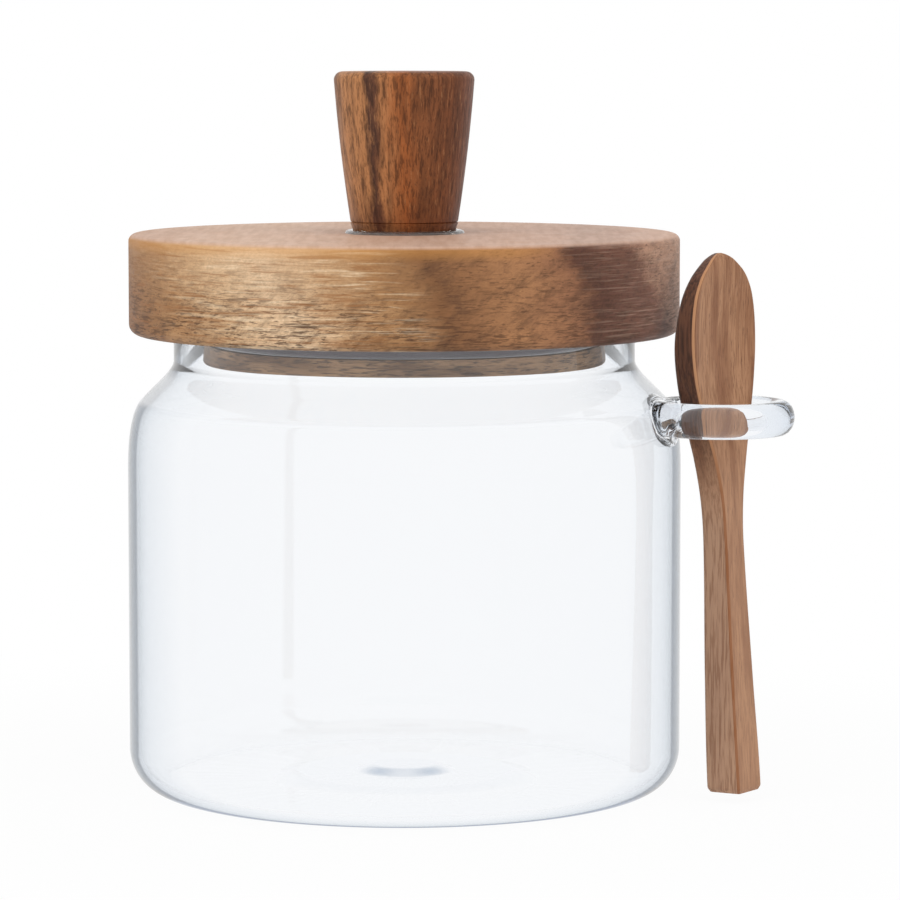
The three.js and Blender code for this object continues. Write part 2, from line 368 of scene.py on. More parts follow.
def loop_weld():
    """The flare of melted glass between the shoulder and the ring. Its axis rises outwards."""
    outline = [(0.0, -WELD_ROOT), (WELD_FOOT_R, -WELD_ROOT)]
    outline += bend(
        (WELD_FOOT_R, -WELD_ROOT / 2),
        (LOOP_ROD_VERTICAL, 0.0),
        (LOOP_ROD_VERTICAL, WELD_LENGTH),
    )
    outline += [(0.0, WELD_LENGTH)]
    weld = turned("loop_weld", outline, LOOP_SEGMENTS)
    weld.data.transform(Matrix.Rotation(math.pi / 2, 4, "Y"))
    weld.data.transform(Matrix.Diagonal((1.0, WELD_SPREAD, 1.0, 1.0)))
    weld.data.transform(Matrix.Rotation(-WELD_TILT, 4, "Y"))
    weld.data.transform(Matrix.Translation((WELD_SEAT_R * MM, 0.0, WELD_HEIGHT * MM)))
    return placed_on_loop(weld)


def loop_hole():
    """The space inside the ring, which the weld's flare is kept out of."""
    hole_r = LOOP_RING_R - LOOP_ROD_RADIAL
    reach = 3 * WELD_FOOT_R
    outline = [(0.0, -reach), (hole_r, -reach), (hole_r, reach), (0.0, reach)]
    hole = turned("loop_hole", outline, LOOP_SEGMENTS)
    hole.data.transform(Matrix.Translation((LOOP_REACH * MM, 0.0, LOOP_HEIGHT * MM)))
    return placed_on_loop(hole)


def spoon_loop():
    """The ring and its weld melted into one piece, cut off just short of the jar's surface."""
    loop = loop_weld()
    cut_or_join(loop, loop_hole(), "DIFFERENCE")
    cut_or_join(loop, loop_ring(), "UNION")
    remesh = loop.modifiers.new("remesh", "REMESH")
    remesh.mode = "VOXEL"
    remesh.voxel_size = WELD_VOXEL * MM
    melt = loop.modifiers.new("melt", "SMOOTH")
    melt.factor = MELT_FACTOR
    melt.iterations = MELT_STEPS
    apply_modifiers(loop)
    cut_or_join(loop, jar_bulk(WELD_GAP), "DIFFERENCE")
    loop.name = "glass_loop"
    loop.data.shade_smooth()
    loop.data.set_sharp_from_angle(angle=math.radians(WELD_SHARP))
    return loop


# Lid


def lid_disc():
    low = LID_LOW_EDGE_R
    top = LID_TOP_EDGE_R
    outline = [(0.0, LID_BOTTOM)]
    outline += arc((LID_R - low, LID_BOTTOM + low), (low, low), -90, 0)
    outline += arc((LID_R - top, LID_TOP - top), (top, top), 0, 90)
    outline += [(0.0, LID_TOP)]
    return turned("lid_wood_disc", outline)


def lid_plug():
    edge = (PLUG_EDGE_R, PLUG_EDGE_R)
    outline = [(0.0, PLUG_BOTTOM)]
    outline += arc((PLUG_R - PLUG_EDGE_R, PLUG_BOTTOM + PLUG_EDGE_R), edge, -90, 0, CORNER_STEPS)
    outline += [(PLUG_R, FLANGE_TOP), (PLUG_CORE_R, FLANGE_TOP)]
    outline += [(PLUG_CORE_R, LID_BOTTOM), (0.0, LID_BOTTOM)]
    return turned("lid_wood_plug", outline)


def seal_ring():
    low = FLANGE_TOP + SEAL_FIT
    high = LID_BOTTOM - SEAL_FIT
    half = (high - low) / 2
    inner = PLUG_CORE_R + SEAL_FIT
    outline = [(inner, high), (inner, low)]
    outline += arc((SEAL_R - half, low + half), (half, half), -90, 90)
    return turned("silicone_seal", outline)


def knob():
    score = LID_TOP + SCORE_HEIGHT
    shoulder = KNOB_TOP - KNOB_EDGE_R
    outline = [(KNOB_BORE_R, LID_TOP), (KNOB_SOLE_R, LID_TOP)]
    outline += [(KNOB_FOOT_R, score - SCORE_HALF), (KNOB_FOOT_R - SCORE_DEPTH, score)]
    outline += bend(
        (KNOB_FOOT_R, score + SCORE_HALF),
        (KNOB_BELLY_R, (score + shoulder) / 2),
        (KNOB_TOP_R, shoulder),
    )
    outline += arc((KNOB_TOP_R - KNOB_EDGE_R, shoulder), (KNOB_EDGE_R, KNOB_EDGE_R), 0, 90)
    outline += [(0.0, KNOB_TOP), (0.0, KNOB_BORE_TOP), (KNOB_BORE_R, KNOB_BORE_TOP)]
    return turned("knob_wood", outline, KNOB_SEGMENTS)


def glue_bead():
    inner = KNOB_SOLE_R + GLUE_FIT
    top = (inner + GLUE_CREST, LID_TOP + GLUE_HEIGHT)
    outline = [(inner, LID_TOP)]
    outline += bend((GLUE_R, LID_TOP), (GLUE_R, LID_TOP + GLUE_HEIGHT), top, GLUE_STEPS)

    def uneven(turn):
        grow = 1.0
        for count, start, share in GLUE_WAVES:
            grow += share * math.sin(count * turn + start)
        return grow

    return turned("glue_ring", outline, KNOB_SEGMENTS, GLUE_SHARP, uneven)


# Spoon


def spoon_size(height):
    """Width, depth, hollow and bow at a height, along a smooth curve through the stations."""
    last = len(SPOON_STATIONS) - 1
    i = 0
    while i < last - 1 and SPOON_STATIONS[i + 1][0] < height:
        i += 1
    low = SPOON_STATIONS[i]
    high = SPOON_STATIONS[i + 1]
    before = SPOON_STATIONS[max(i - 1, 0)]
    after = SPOON_STATIONS[min(i + 2, last)]
    span = high[0] - low[0]
    t = (height - low[0]) / span
    values = []
    for k in (1, 2, 3, 4):
        rise_low = (high[k] - before[k]) / (high[0] - before[0]) * span
        rise_high = (after[k] - low[k]) / (after[0] - low[0]) * span
        value = (2 * t**3 - 3 * t**2 + 1) * low[k] + (t**3 - 2 * t**2 + t) * rise_low
        value += (3 * t**2 - 2 * t**3) * high[k] + (t**3 - t**2) * rise_high
        values.append(value)
    return values


def corner_radius(radius, shares, depth, half):
    return min(radius, shares[0] * depth, shares[1] * half)


def spoon_section(width, depth, hollow):
    """One closed section: a hollowed face at -Y with crisp corners and a rounded back at +Y.
    Each point has its place and two marks: whether it is on a rim of the face, and on the side at -X."""
    half = width / 2
    soft = corner_radius(SPOON_BACK_CORNER, BACK_CORNER_SHARES, depth, half)
    crisp = corner_radius(SPOON_FRONT_CORNER, FRONT_CORNER_SHARES, depth, half)
    flat = half - crisp
    face = -depth / 2
    points = []
    for share in FACE_SHARES:
        points.append((share * flat, face + hollow * (1 - share * share), 0.0, 0.0))
    right_rim = arc((flat, face + crisp), (crisp, crisp), -60, 0, RIM_STEPS)
    back_right = arc((half - soft, depth / 2 - soft), (soft, soft), 0, 90, CORNER_STEPS)
    back_left = arc((soft - half, depth / 2 - soft), (soft, soft), 90, 180, CORNER_STEPS)
    left_rim = arc((-flat, face + crisp), (crisp, crisp), 180, 240, RIM_STEPS)
    below_rim = face + crisp + RIM_EDGE
    points += [(x, y, 1.0, 0.0) for x, y in right_rim]
    points += [(half, below_rim, 0.0, 0.0)]
    points += [(x, y, 0.0, 0.0) for x, y in back_right]
    points += [(x, y, 0.0, 1.0) for x, y in back_left]
    points += [(-half, below_rim, 0.0, 1.0)]
    points += [(x, y, 1.0, 1.0) for x, y in left_rim]
    return points


def spoon():
    length = SPOON_STATIONS[-1][0]
    rings = []
    rims = []
    sides = []
    for i in range(SPOON_STEPS + 1):
        share = i / SPOON_STEPS
        height = length * (share - math.sin(2 * math.pi * share) / (2 * math.pi) * SPOON_CROWDING)
        width, depth, hollow, bow = spoon_size(height)
        section = spoon_section(width, depth, max(hollow, 0.0))
        rings.append([(x, y + bow, height) for x, y, _, _ in section])
        rims += [rim for _, _, rim, _ in section]
        sides += [side for _, _, _, side in section]
    bm = bmesh.new()
    loft(bm, rings, True)
    piece = finish_mesh("spoon_wood_piece", bm, SPOON_SHARP)
    for name, marks in (("rim", rims), ("side", sides)):
        piece.data.attributes.new(name, "FLOAT", "POINT").data.foreach_set("value", marks)
    piece.data.transform(Matrix.Rotation(SPOON_TURN, 4, "Z"))
    piece.data.transform(Matrix.Rotation(SPOON_LEAN, 4, "Y"))
    piece.data.transform(Matrix.Translation(Vector(SPOON_FOOT) * MM))
    return piece


# Materials


def rgb(red, green, blue):
    """A colour as it shows on a screen, 0 to 255, turned to the linear values that shaders take."""
    linear = []
    for level in (red, green, blue):
        c = level / 255
        linear.append(c / 12.92 if c <= 0.04045 else ((c + 0.055) / 1.055) ** 2.4)
    return (*linear, 1.0)


class Shader:
    """A material and short calls that add nodes to it.
    A value given to a call is a number, a colour or a socket."""

    def __init__(self, name):
        self.material = bpy.data.materials.new(name)
        self.material.use_nodes = True
        self.tree = self.material.node_tree
        self.surface = self.tree.nodes["Principled BSDF"]
        self.output = self.tree.nodes["Material Output"]
        self.place = self.add("ShaderNodeTexCoord").outputs["Object"]
        self.place = self.mapped((1 / MM, 1 / MM, 1 / MM))

    def add(self, kind, **settings):
        node = self.tree.nodes.new(kind)
        for key, value in settings.items():
            setattr(node, key, value)
        return node

    def put(self, socket, value):
        if isinstance(value, bpy.types.NodeSocket):
            self.tree.links.new(value, socket)
        else:
            socket.default_value = value

    def set(self, **values):
        for key, value in values.items():
            self.put(self.surface.inputs[key.replace("_", " ")], value)

    def math(self, operation, a, b=0.0, c=0.0):
        node = self.add("ShaderNodeMath", operation=operation)
        for socket, value in zip(node.inputs, (a, b, c)):
            self.put(socket, value)
        return node.outputs[0]

    def times(self, *factors):
        product = factors[0]
        for factor in factors[1:]:
            product = self.math("MULTIPLY", product, factor)
        return product

    def mapped(self, scale=(1, 1, 1), turn=(0, 0, 0), move=(0, 0, 0)):
        """The place, turned in degrees and then scaled.
        It is in millimetres, so a scale of 1 over L gives marks about L long."""
        turned_node = self.add("ShaderNodeMapping", vector_type="POINT")
        self.put(turned_node.inputs["Vector"], self.place)
        turned_node.inputs["Rotation"].default_value = [math.radians(a) for a in turn]
        node = self.add("ShaderNodeMapping", vector_type="POINT")
        self.put(node.inputs["Vector"], turned_node.outputs[0])
        node.inputs["Scale"].default_value = scale
        node.inputs["Location"].default_value = move
        return node.outputs[0]

    def noise(self, size, detail=3.0, roughness=0.5, distortion=0.0, turn=(0, 0, 0), move=(0, 0, 0)):
        """Noise with marks of about the given sizes in millimetres along X, Y and Z."""
        node = self.add("ShaderNodeTexNoise")
        self.put(node.inputs["Vector"], self.mapped([1 / s for s in size], turn, move))
        node.inputs["Scale"].default_value = 1.0
        node.inputs["Detail"].default_value = detail
        node.inputs["Roughness"].default_value = roughness
        node.inputs["Distortion"].default_value = distortion
        return node.outputs[0]

    def ramp(self, factor, stops):
        node = self.add("ShaderNodeValToRGB")
        self.put(node.inputs[0], factor)
        elements = node.color_ramp.elements
        while len(elements) < len(stops):
            elements.new(0.5)
        for element, (position, colour) in zip(elements, stops):
            element.position = position
            element.color = colour
        return node.outputs[0]

    def span(self, value, low, high, to_low=0.0, to_high=1.0, shape="SMOOTHSTEP"):
        """A value between low and high, turned to one between to_low and to_high."""
        node = self.add("ShaderNodeMapRange", interpolation_type=shape)
        self.put(node.inputs["Value"], value)
        node.inputs["From Min"].default_value = low
        node.inputs["From Max"].default_value = high
        node.inputs["To Min"].default_value = to_low
        node.inputs["To Max"].default_value = to_high
        return node.outputs[0]

    def mix(self, factor, a, b):
        node = self.add("ShaderNodeMix", data_type="RGBA")
        self.put(node.inputs[0], factor)
        self.put(node.inputs[6], a)
        self.put(node.inputs[7], b)
        return node.outputs[2]

    def axis(self, vector, name):
        node = self.add("ShaderNodeSeparateXYZ")
        self.put(node.inputs[0], vector)
        return node.outputs[name]

    def radius(self):
        """The distance from the origin in millimetres."""
        node = self.add("ShaderNodeVectorMath", operation="LENGTH")
        self.put(node.inputs[0], self.place)
        return node.outputs["Value"]

    def facing(self, name):
        """One axis of the direction that the surface faces."""
        return self.axis(self.add("ShaderNodeNewGeometry").outputs["Normal"], name)

    def mark(self, name):
        """A value stored at the mesh's points."""
        return self.add("ShaderNodeAttribute", attribute_name=name).outputs["Fac"]

    def bump(self, height, strength, distance):
        node = self.add("ShaderNodeBump")
        self.put(node.inputs["Height"], height)
        node.inputs["Strength"].default_value = strength
        node.inputs["Distance"].default_value = distance * MM
        self.put(self.surface.inputs["Normal"], node.outputs[0])

    def light_path(self, *names):
        """A socket that is 1 for any of the named kinds of ray."""
        node = self.add("ShaderNodeLightPath")
        total = node.outputs[names[0]]
        for name in names[1:]:
            total = self.math("MAXIMUM", total, node.outputs[name])
        return total

    def swap_surface(self, factor, other):
        """Shows another shader in place of the surface where the factor is 1."""
        swap = self.add("ShaderNodeMixShader")
        self.put(swap.inputs[0], factor)
        self.put(swap.inputs[1], self.surface.outputs[0])
        self.put(swap.inputs[2], other.outputs[0])
        self.put(self.output.inputs["Surface"], swap.outputs[0])


WHITE = (1.0, 1.0, 1.0, 1.0)

# Glass: painted shade on its edges, deeper as they turn away from the eye, from Layer Weight's Facing
EDGE_PAINTED_SHADES = [
    (0.42, WHITE),
    (0.545, rgb(238, 241, 244)),
    (0.626, rgb(224, 229, 234)),
    (0.69, rgb(202, 210, 218)),
    (0.735, rgb(172, 182, 192)),
]
# Painted shade at the very edge, deep blue where the glass faces down
EDGE_DARK_START = 0.735
EDGE_DARK_END = 0.77
EDGE_PAINTED_SHADE = rgb(56, 68, 82)
EDGE_PAINTED_SHADE_BELOW = rgb(40, 58, 92)
# Painted shade on the front slope of the nub in the base
NUB_PAINTED_SHADE = rgb(160, 175, 194)
GLASS_IOR = 1.47
GLASS_TO_LAMPS = (0.95, 0.96, 0.97, 1.0)
GLASS_TINT = (0.72, 0.78, 0.86, 1.0)
GLASS_TINT_DENSITY = 75.0


def painted_nub_shade(shader, colour):
    """Paints shade, grey, on the front slope of the nub in the jar's base, most of all towards its two
    sides.
    """
    sideways = shader.math("ABSOLUTE", shader.facing("X"))
    on_nub = shader.times(
        shader.span(shader.axis(shader.place, "Z"), PLATEAU, PLATEAU + 0.1),
        shader.span(shader.radius(), NUB_R + 1.5, NUB_R + 1.0),
        shader.span(shader.facing("Z"), 0.4, 0.6),
        shader.span(shader.facing("Y"), -0.02, -0.3),
        shader.span(sideways, 0.0, 0.25, 0.4, 1.0),
    )
    return shader.mix(on_nub, colour, NUB_PAINTED_SHADE)


def clear_glass(name, painted_edge_share):
    """Clear glass with a faint grey-blue tint that deepens with the length of glass looked through.
    Upright walls seen edge on get painted shade where the camera first sees them, by a share. The glass
    lets the lamps' light through."""
    shader = Shader(name)
    weight = shader.add("ShaderNodeLayerWeight")
    weight.inputs["Blend"].default_value = 0.5
    turned_away = weight.outputs["Facing"]
    up = shader.facing("Z")
    upright = shader.span(up, 0.97, 0.5)
    # Painted shade: grey turning near black at the edge, deep blue where the wall faces down, on first
    # camera hits only
    dark = shader.mix(shader.span(up, -0.5, -0.9), EDGE_PAINTED_SHADE, EDGE_PAINTED_SHADE_BELOW)
    edge = shader.ramp(turned_away, EDGE_PAINTED_SHADES)
    edge = shader.mix(shader.span(turned_away, EDGE_DARK_START, EDGE_DARK_END), edge, dark)
    painted_edge_shade = shader.times(upright, painted_edge_share, shader.light_path("Is Camera Ray"))
    ripple = shader.noise((30, 30, 14), 1.0)
    colour = painted_nub_shade(shader, shader.mix(painted_edge_shade, WHITE, edge))
    shader.set(Base_Color=colour, Roughness=0.0, IOR=GLASS_IOR, Transmission_Weight=1.0)
    shader.bump(ripple, 0.03, 0.4)
    through = shader.add("ShaderNodeBsdfTransparent")
    through.inputs["Color"].default_value = GLASS_TO_LAMPS
    shader.swap_surface(shader.light_path("Is Shadow Ray", "Is Diffuse Ray"), through)
    tint = shader.add("ShaderNodeVolumeAbsorption")
    tint.inputs["Color"].default_value = GLASS_TINT
    tint.inputs["Density"].default_value = GLASS_TINT_DENSITY
    shader.put(shader.output.inputs["Volume"], tint.outputs[0])
    return shader.material


# Lid: colours of its side from left to right, over twice the half width below
LID_ZONES = [
    (0.0, rgb(134, 90, 48)),
    (0.1, rgb(178, 134, 90)),
    (0.18, rgb(214, 176, 134)),
    (0.29, rgb(228, 194, 156)),
    (0.38, rgb(202, 162, 120)),
    (0.46, rgb(176, 132, 88)),
    (0.57, rgb(128, 86, 52)),
    (0.7, rgb(178, 126, 84)),
    (0.79, rgb(156, 106, 74)),
    (0.83, rgb(80, 44, 32)),
    (0.91, rgb(116, 74, 58)),
    (0.94, rgb(190, 146, 120)),
    (1.0, rgb(196, 154, 128)),
]
LID_ZONES_HALF = 43.0
LID_ZONES_LEAN = 0.32
LID_ZONES_SHIFT = -25.0
LID_ZONES_WARP = 16.0
LID_CLOUD = rgb(66, 42, 28)
LID_DASH = rgb(58, 34, 20)
LID_PALE_STREAK = rgb(248, 222, 186)
LID_BROWN_STREAK = rgb(150, 98, 52)
LID_GRIT = rgb(120, 80, 52)
LID_WORN = rgb(206, 172, 150)
# Painted sheen on the top, pale and darker with its fibres
LID_TOP_SHEEN_PALE = rgb(214, 180, 160)
LID_TOP_SHEEN_DARK = rgb(196, 160, 138)
# Painted highlight along the left of the top edge
LID_EDGE_HIGHLIGHT = rgb(206, 144, 72)


def lid_wood():
    """Turned wood with pale streaked sapwood to the left and a dark heart streak to the right.
    Short dark dashes gather low on its side. A painted highlight runs along the left of its top edge, and
    its top is painted pale as sheen."""
    shader = Shader("streaked_lid_wood")
    place = shader.place
    height = shader.axis(place, "Z")
    warp = shader.math("SUBTRACT", shader.noise((22, 22, 9), 7.0, 0.72), 0.5)
    lean = shader.math("MULTIPLY_ADD", height, LID_ZONES_LEAN, LID_ZONES_SHIFT)
    across = shader.math("ADD", shader.axis(place, "X"), lean)
    across = shader.math("MULTIPLY_ADD", warp, LID_ZONES_WARP, across)
    zones = shader.ramp(shader.span(across, -LID_ZONES_HALF, LID_ZONES_HALF, shape="LINEAR"), LID_ZONES)

    # Where the marks go
    side = shader.span(shader.facing("Z"), 0.9, 0.4)
    right = shader.span(across, -8.0, 8.0)
    left = shader.times(side, shader.span(right, 1.0, 0.0))
    low = shader.span(height, LID_TOP, LID_BOTTOM, 0.1, 1.15)
    shade = shader.math("MAXIMUM", low, right)
    heart = shader.span(across, 24.0, 34.0)

    # Clouds and dark marks
    clouds = shader.noise((4.6, 4.6, 1.8), 6.0, 0.78, 0.3, turn=(0, 32, 0), move=(4, 2, 1))
    cloudy = shader.times(shader.span(clouds, 0.4, 0.68, 0.0, 0.75), shade)
    tone = shader.mix(cloudy, zones, shader.mix(0.78, zones, LID_CLOUD))
    dashes = shader.noise((3.8, 3.8, 0.36), 3.0, 0.62, 0.5)
    ticks = shader.noise((1.5, 1.5, 0.26), 2.0, 0.6, 0.3, move=(7, 3, 5))
    flock = shader.span(shader.noise((13, 13, 6), 2.0, 0.5, move=(1, 8, 3)), 0.3, 0.55)
    dashed = shader.times(shader.span(dashes, 0.52, 0.61), flock, low)
    ticked = shader.times(shader.span(ticks, 0.56, 0.65), 0.8, shade)
    dark = shader.math("MAXIMUM", dashed, ticked)
    dark = shader.times(dark, side, shader.span(right, 0.0, 1.0, 1.0, 0.75))
    wood = shader.mix(dark, tone, shader.mix(0.88, tone, LID_DASH))

    # Level streaks, grit and scratches
    streaks = shader.noise((9, 9, 0.5), 4.0, 0.62, 0.5, move=(3, 6, 2))
    pale = shader.span(streaks, 0.48, 0.34, 0.0, 0.5)
    pale = shader.times(left, shader.span(across, -40.0, -24.0), pale)
    brown = shader.times(left, shader.span(streaks, 0.53, 0.64, 0.0, 0.6))
    wood = shader.mix(pale, wood, LID_PALE_STREAK)
    wood = shader.mix(brown, wood, LID_BROWN_STREAK)
    grit = shader.noise((0.5, 0.5, 0.35), 2.0, 0.7)
    wood = shader.mix(shader.span(grit, 0.3, 0.7, 0.0, 0.22), wood, LID_GRIT)
    scratches = shader.noise((11, 11, 0.3), 3.0, 0.6, 0.4, move=(2, 2, 9))
    worn = shader.times(shader.span(scratches, 0.5, 0.72, 0.0, 0.34), heart, side)
    wood = shader.mix(worn, wood, LID_WORN)

    # Painted highlight along the top edge, and painted sheen on the top
    # Painted highlight: a golden band just under the top edge, on the left only
    edge_highlight = shader.span(height, LID_TOP - 2.6, LID_TOP - 0.9, 0.0, 0.55)
    edge_highlight = shader.times(edge_highlight, shader.span(across, 27.0, 17.0))
    wood = shader.mix(edge_highlight, wood, shader.mix(0.35, LID_EDGE_HIGHLIGHT, zones))
    # Painted sheen: the top is painted pale pink over its fibres, with a fifth of the side's wood colour
    fibres = shader.noise((1.2, 14, 2), 3.0, 0.6)
    top = shader.mix(shader.span(fibres, 0.3, 0.7), LID_TOP_SHEEN_PALE, LID_TOP_SHEEN_DARK)
    top = shader.mix(0.2, top, zones)
    colour = shader.mix(side, top, wood)
    gloss = shader.span(dashes, 0.3, 0.7, 0.5, 0.62)
    shader.set(Base_Color=colour, Roughness=gloss, Specular_IOR_Level=0.35)
    shader.bump(dashes, 0.2, 0.15)
    return shader.material


# Knob: colours from left to right, over twice the half width below
KNOB_ZONES = [
    (0.0, rgb(112, 74, 50)),
    (0.1, rgb(186, 130, 86)),
    (0.24, rgb(180, 124, 80)),
    (0.285, rgb(76, 48, 36)),
    (0.32, rgb(110, 70, 48)),
    (0.36, rgb(178, 120, 76)),
    (0.5, rgb(160, 92, 48)),
    (0.62, rgb(136, 82, 48)),
    (0.86, rgb(120, 70, 42)),
    (1.0, rgb(118, 72, 52)),
]
KNOB_ZONES_HALF = 11.0
KNOB_ZONES_LEAN = -0.045
KNOB_ZONES_SHIFT = 4.4
KNOB_ZONES_WARP = 3.4
KNOB_BAND = rgb(64, 38, 24)
KNOB_PORE = rgb(46, 26, 16)
KNOB_GLOW = rgb(204, 146, 96)
KNOB_FOOT_RED = rgb(84, 36, 14)


def knob_wood():
    """Turned wood with its grain upright: tan at the left, one ragged black streak, orange,
    then brown with dark pores. It is redder towards its foot."""
    shader = Shader("oiled_knob_wood")
    place = shader.place
    height = shader.axis(place, "Z")
    ragged = shader.math("SUBTRACT", shader.noise((1.6, 1.6, 5), 4.0, 0.7), 0.5)
    lean = shader.math("MULTIPLY_ADD", height, KNOB_ZONES_LEAN, KNOB_ZONES_SHIFT)
    across = shader.math("SUBTRACT", shader.axis(place, "X"), lean)
    across = shader.math("MULTIPLY_ADD", ragged, KNOB_ZONES_WARP, across)
    zones = shader.ramp(shader.span(across, -KNOB_ZONES_HALF, KNOB_ZONES_HALF, shape="LINEAR"), KNOB_ZONES)
    bands = shader.noise((1.1, 1.1, 24), 3.0, 0.6, 0.3, move=(5, 2, 0))
    banded = shader.span(bands, 0.44, 0.62, 0.0, 0.55)
    zones = shader.mix(banded, zones, shader.mix(0.7, zones, KNOB_BAND))
    pores = shader.noise((0.42, 0.42, 4.2), 3.0, 0.65)
    fine = shader.noise((0.22, 0.22, 1.4), 2.0, 0.6, move=(3, 1, 2))
    long_pores = shader.span(pores, 0.51, 0.63, 0.0, 0.8)
    short_pores = shader.span(fine, 0.54, 0.66, 0.0, 0.65)
    dark = shader.math("MAXIMUM", long_pores, short_pores)
    colour = shader.mix(dark, zones, shader.mix(0.75, zones, KNOB_PORE))
    glow = shader.span(pores, 0.42, 0.28, 0.0, 0.35)
    colour = shader.mix(glow, colour, KNOB_GLOW)
    foot = shader.span(height, LID_TOP + 7.0, LID_TOP, 0.0, 0.5)
    colour = shader.mix(foot, colour, shader.mix(0.7, colour, KNOB_FOOT_RED))
    gloss = shader.span(pores, 0.3, 0.7, 0.42, 0.56)
    shader.set(Base_Color=colour, Roughness=gloss, Specular_IOR_Level=0.2)
    shader.bump(pores, 0.2, 0.12)
    return shader.material


# Spoon: colours of its wood, of its painted shadow and painted rim highlight, and the heights between
# which its handle turns to its bowl
SPOON_PALE = rgb(182, 134, 98)
SPOON_BROWN = rgb(146, 98, 66)
SPOON_FIBRE = rgb(118, 74, 48)
SPOON_PORE = rgb(84, 48, 30)
SPOON_GREY_PALE = rgb(172, 140, 116)
SPOON_GREY_DARK = rgb(104, 70, 50)
SPOON_HANDLE_TAN = rgb(200, 156, 126)
# Painted shadow on the side of the bowl
SPOON_PAINTED_SHADOW = rgb(92, 54, 36)
SPOON_PAINTED_SHADOW_DARK = rgb(46, 24, 16)
SPOON_RIDGE_HANDLE = rgb(140, 82, 40)
# Painted highlight on the bowl's rims
SPOON_RIM_HIGHLIGHT = rgb(206, 150, 108)
BOWL_START = 44.0
BOWL_END = 62.0


def spoon_wood():
    """Oiled wood with its grain along the spoon. Its rims carry a dark orange line along the handle and a
    painted highlight round the bowl, and the bowl's side at -X carries a painted shadow.
    """
    shader = Shader("oiled_spoon_wood")
    bands = shader.noise((2.6, 2.6, 26), 3.0, 0.55, 0.4)
    fibres = shader.noise((0.34, 0.34, 6), 3.0, 0.6)
    pores = shader.noise((0.2, 0.2, 2.2), 2.0, 0.6, move=(2, 5, 1))
    tone = shader.mix(shader.span(bands, 0.35, 0.65), SPOON_PALE, SPOON_BROWN)
    tone = shader.mix(shader.span(fibres, 0.4, 0.66, 0.0, 0.5), tone, SPOON_FIBRE)
    tone = shader.mix(shader.span(pores, 0.58, 0.7, 0.0, 0.6), tone, SPOON_PORE)
    height = shader.axis(shader.place, "Z")
    side = shader.mark("side")
    bowl = shader.span(height, BOWL_START, BOWL_END)
    grey = shader.mix(shader.span(fibres, 0.46, 0.6), SPOON_GREY_PALE, SPOON_GREY_DARK)
    tone = shader.mix(shader.times(side, 0.6, shader.span(height, 52.0, 40.0)), tone, grey)
    tone = shader.mix(shader.span(height, 58.0, BOWL_START, 0.0, 0.3), tone, SPOON_HANDLE_TAN)
    # Painted shadow: the bowl's side at -X is painted near black-brown, with its fibres
    painted_shadow = shader.mix(shader.span(fibres, 0.35, 0.65), SPOON_PAINTED_SHADOW, SPOON_PAINTED_SHADOW_DARK)
    tone = shader.mix(shader.times(side, bowl, 0.92), tone, painted_shadow)
    # Rims: a dark orange line along the handle, turning into a painted highlight round the bowl
    rim = shader.span(shader.mark("rim"), 0.5, 0.8, 0.0, 0.75)
    rim_line_and_highlight = shader.mix(bowl, SPOON_RIDGE_HANDLE, SPOON_RIM_HIGHLIGHT)
    tone = shader.mix(rim, tone, rim_line_and_highlight)
    gloss = shader.span(fibres, 0.3, 0.7, 0.46, 0.58)
    shader.set(Base_Color=tone, Roughness=gloss, Specular_IOR_Level=0.35)
    shader.bump(fibres, 0.18, 0.1)
    return shader.material


def plug_wood():
    """Bare greyish wood with short level marks, left sanded."""
    shader = Shader("bare_plug_wood")
    bands = shader.noise((14, 14, 2.6), 3.0, 0.6, 0.5)
    marks = shader.noise((2.6, 2.6, 0.3), 3.0, 0.65, 0.4)
    tone = shader.mix(shader.span(bands, 0.35, 0.65), rgb(180, 142, 104), rgb(122, 90, 62))
    colour = shader.mix(shader.span(marks, 0.48, 0.62, 0.0, 0.75), tone, rgb(66, 48, 36))
    shader.set(Base_Color=colour, Roughness=0.65)
    shader.bump(marks, 0.25, 0.12)
    return shader.material


def dowel_wood():
    """Bare pale wood with its grain along the dowel."""
    shader = Shader("bare_dowel_wood")
    bands = shader.noise((1.6, 1.6, 18), 3.0, 0.6, 0.4)
    fibres = shader.noise((0.3, 0.3, 4), 3.0, 0.6)
    tone = shader.mix(shader.span(bands, 0.35, 0.65), rgb(216, 190, 150), rgb(188, 156, 114))
    colour = shader.mix(shader.span(fibres, 0.5, 0.7, 0.0, 0.5), tone, rgb(146, 112, 74))
    shader.set(Base_Color=colour, Roughness=0.7)
    shader.bump(fibres, 0.2, 0.1)
    return shader.material


def silicone():
    """Grey silicone, a little cloudy."""
    shader = Shader("grey_silicone")
    haze = shader.noise((5, 5, 1.5), 2.0)
    shader.set(
        Base_Color=shader.mix(haze, rgb(84, 78, 82), rgb(102, 94, 98)),
        Roughness=0.35,
        Subsurface_Weight=0.1,
    )
    shader.surface.inputs["Subsurface Radius"].default_value = (0.0012, 0.001, 0.001)
    shader.bump(haze, 0.05, 0.2)
    return shader.material


def set_glue():
    """Clear glue that has set with a slightly uneven surface."""
    shader = Shader("set_clear_glue")
    cloud = shader.noise((2.5, 2.5, 2.5), 2.0)
    shader.set(
        Base_Color=shader.mix(cloud, rgb(244, 236, 226), rgb(252, 250, 246)),
        Roughness=0.05,
        Transmission_Weight=0.95,
    )
    shader.bump(cloud, 0.4, 0.3)
    return shader.material


# Pieces


def dress(piece, material, body, slot, *replaced):
    """Gives a piece its material and body, and hides the solid that it replaces. Its slot is not used."""
    piece.data.materials.clear()
    piece.data.materials.append(material)
    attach(piece, body)
    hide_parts(*replaced)


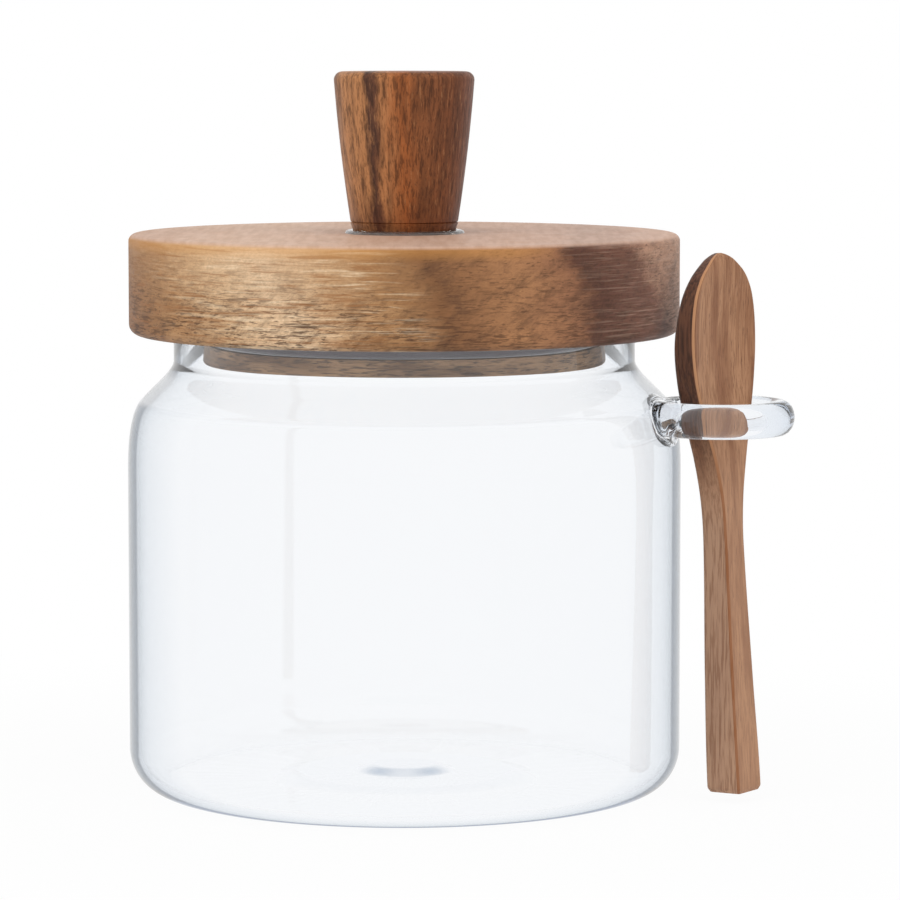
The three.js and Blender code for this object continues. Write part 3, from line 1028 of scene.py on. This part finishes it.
dress(jar_glass(), clear_glass("clear_jar_glass", 1.0), "jar", "jar_glass", "jar_body")
dress(spoon_loop(), clear_glass("clear_loop_glass", 0.3), "jar", "loop_glass", "spoon_loop")
disc_piece = lid_disc()
plug_piece = lid_plug()
dress(disc_piece, lid_wood(), "lid", "lid_wood", "lid_disc")
dress(plug_piece, plug_wood(), "lid", "plug_wood", "lid_plug")
dress(seal_ring(), silicone(), "lid", "seal_silicone", "seal_ring")
dress(knob(), knob_wood(), "lid", "knob_wood", "knob")
dress(glue_bead(), set_glue(), "lid", "glue", "glue_bead")
spoon_piece = spoon()
dress(spoon_piece, spoon_wood(), "spoon", "spoon_wood", "spoon")

# These would show as dark reflections in the glass
for piece in (disc_piece, plug_piece, spoon_piece):
    piece.visible_glossy = False

dowel_mesh = nodes["knob_dowel"].data
dowel_mesh.materials.clear()
dowel_mesh.materials.append(dowel_wood())


# Studio


def studio_floor():
    """A pale floor that shows white to the camera and through glass.
    It keeps a little of the jar's shadow near its foot."""
    bm = bmesh.new()
    bmesh.ops.create_grid(bm, x_segments=8, y_segments=8, size=FLOOR_HALF)
    floor = finish_mesh("floor", bm, SHARP)
    shader = Shader("pale_floor")
    shader.set(Base_Color=(0.9, 0.9, 0.9, 1.0), Roughness=0.9, Specular_IOR_Level=0.0)
    whiteness = shader.span(shader.radius(), FLOOR_NEAR, FLOOR_FAR, WHITENESS_NEAR, 1.0)
    direct = shader.times(shader.light_path("Is Camera Ray"), whiteness)
    by_glass = shader.light_path("Is Glossy Ray", "Is Transmission Ray")
    through_glass = shader.times(by_glass, WHITENESS_THROUGH_GLASS)
    shader.swap_surface(shader.math("MAXIMUM", direct, through_glass), shader.add("ShaderNodeEmission"))
    floor.data.materials.append(shader.material)


def studio_world():
    """A world that is white to the camera and in glass, and lights the scene dimly."""
    world = bpy.data.worlds.new("studio")
    world.use_nodes = True
    scene.world = world
    tree = world.node_tree
    path = tree.nodes.new("ShaderNodeLightPath")
    seen = path.outputs["Is Camera Ray"]
    for name in ("Is Glossy Ray", "Is Transmission Ray"):
        either = tree.nodes.new("ShaderNodeMath")
        either.operation = "MAXIMUM"
        tree.links.new(seen, either.inputs[0])
        tree.links.new(path.outputs[name], either.inputs[1])
        seen = either.outputs[0]
    level = tree.nodes.new("ShaderNodeMapRange")
    level.inputs["To Min"].default_value = AMBIENT
    tree.links.new(seen, level.inputs["Value"])
    tree.links.new(level.outputs[0], tree.nodes["Background"].inputs["Strength"])
    tree.nodes["Background"].inputs["Color"].default_value = WHITE


def softbox(name, azimuth, height, distance, size, power):
    """An area lamp aimed at the jar, not seen in glass.
    Azimuth is in degrees to the right of the camera, sizes are in metres."""
    lamp = bpy.data.lights.new(name, "AREA")
    lamp.shape = "RECTANGLE"
    lamp.size = size[0]
    lamp.size_y = size[1]
    lamp.energy = power
    holder = bpy.data.objects.new(name, lamp)
    turn = math.radians(azimuth)
    holder.location = (distance * math.sin(turn), -distance * math.cos(turn), height)
    aim = Vector(LAMP_TARGET) - holder.location
    holder.rotation_euler = aim.to_track_quat("-Z", "Y").to_euler()
    holder.visible_glossy = False
    holder.visible_transmission = False
    scene.collection.objects.link(holder)


def studio_camera():
    data = bpy.data.cameras.new("photo_camera")
    data.lens = CAMERA_LENS
    data.sensor_width = CAMERA_SENSOR
    camera = bpy.data.objects.new("photo_camera", data)
    camera.location = Vector(CAMERA_AT) * MM
    camera.rotation_euler = (math.pi / 2 - CAMERA_PITCH, 0.0, 0.0)
    scene.collection.objects.link(camera)
    scene.camera = camera


studio_floor()
studio_world()
for lamp in SOFTBOXES:
    softbox(*lamp)
studio_camera()
scene.cycles.max_bounces = LIGHT_BOUNCES
scene.cycles.transmission_bounces = LIGHT_BOUNCES
scene.view_settings.view_transform = "Standard"
